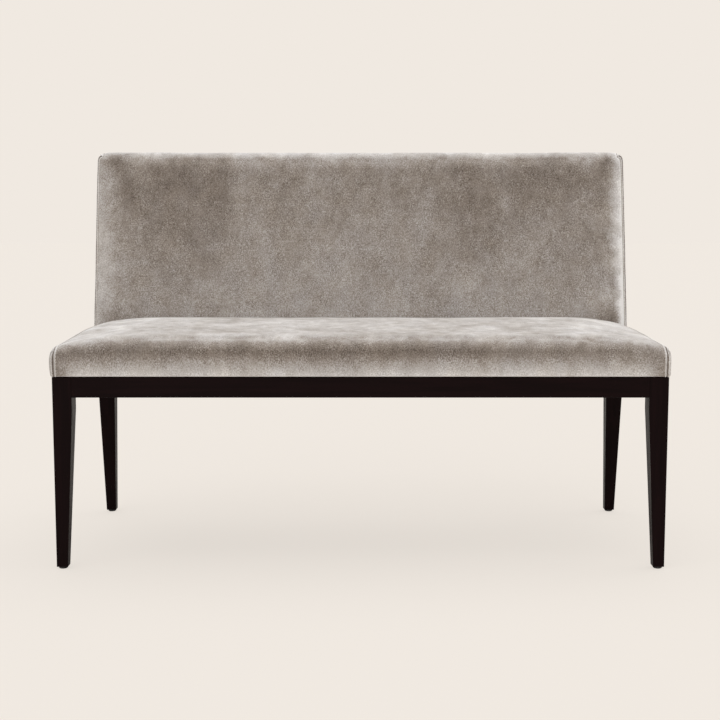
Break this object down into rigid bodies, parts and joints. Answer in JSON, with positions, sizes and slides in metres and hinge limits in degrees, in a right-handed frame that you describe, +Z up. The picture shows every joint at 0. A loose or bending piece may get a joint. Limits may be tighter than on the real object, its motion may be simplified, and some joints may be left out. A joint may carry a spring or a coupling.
{
  "type": "upholstered dining settee",
  "caption": "Armless upholstered settee: velvet seat and reclined full-width back on a dark stained wood base with tapered legs.",
  "frame": {"origin": "on the floor under the middle of the whole settee", "axes": "+Z up, +Y to the back, +X along the settee, to the right seen from the front"},
  "size_m": [1.32, 0.6112, 0.9175],
  "materials": {
    "velvet": "short taupe-grey velvet pile",
    "stained_wood": "espresso stain, satin lacquer",
    "frame_wood": "planed softwood and beech, unfinished",
    "foam": "open-cell cushion foam",
    "wadding": "polyester wadding",
    "webbing": "woven elastic webbing",
    "hessian": "open woven jute",
    "dust_cloth": "thin black non-woven cloth",
    "board": "hardboard",
    "glide": "dark nylon",
    "steel": "zinc-plated steel"
  },
  "bodies": {
    "root": {"back_bottom_rail": "frame_wood", "back_cover": "velvet", "back_crest_rail": "frame_wood", "back_dowels": "frame_wood", "back_foam": "foam", "back_hessian": "hessian", "back_side_panel_left": "velvet", "back_side_panel_right": "velvet", "back_strut_left": "frame_wood", "back_strut_right": "frame_wood", "back_wadding": "wadding", "back_webbing": "webbing", "base_dowels": "frame_wood", "corner_block_front_left": "frame_wood", "corner_block_front_right": "frame_wood", "corner_block_rear_left": "frame_wood", "corner_block_rear_right": "frame_wood", "corner_block_screws": "steel", "cross_rail_left": "stained_wood", "cross_rail_right": "stained_wood", "front_apron": "stained_wood", "front_leg_left": "stained_wood", "front_leg_right": "stained_wood", "glide_front_left": "glide", "glide_front_right": "glide", "glide_nails": "steel", "glide_rear_left": "glide", "glide_rear_right": "glide", "outside_back_board": "board", "outside_back_panel": "velvet", "rear_apron": "stained_wood", "rear_post_left": "stained_wood", "rear_post_right": "stained_wood", "seat_cover": "velvet", "seat_dust_cover": "dust_cloth", "seat_foam": "foam", "seat_frame_end_left": "frame_wood", "seat_frame_end_right": "frame_wood", "seat_frame_front_rail": "frame_wood", "seat_frame_rear_rail": "frame_wood", "seat_frame_strut_left": "frame_wood", "seat_frame_strut_right": "frame_wood", "seat_hessian": "hessian", "seat_screws": "steel", "seat_side_panel_left": "velvet", "seat_side_panel_right": "velvet", "seat_wadding": "wadding", "seat_webbing_cross": "webbing", "seat_webbing_long": "webbing", "side_apron_left": "stained_wood", "side_apron_right": "stained_wood"}
  },
  "joints": []
}
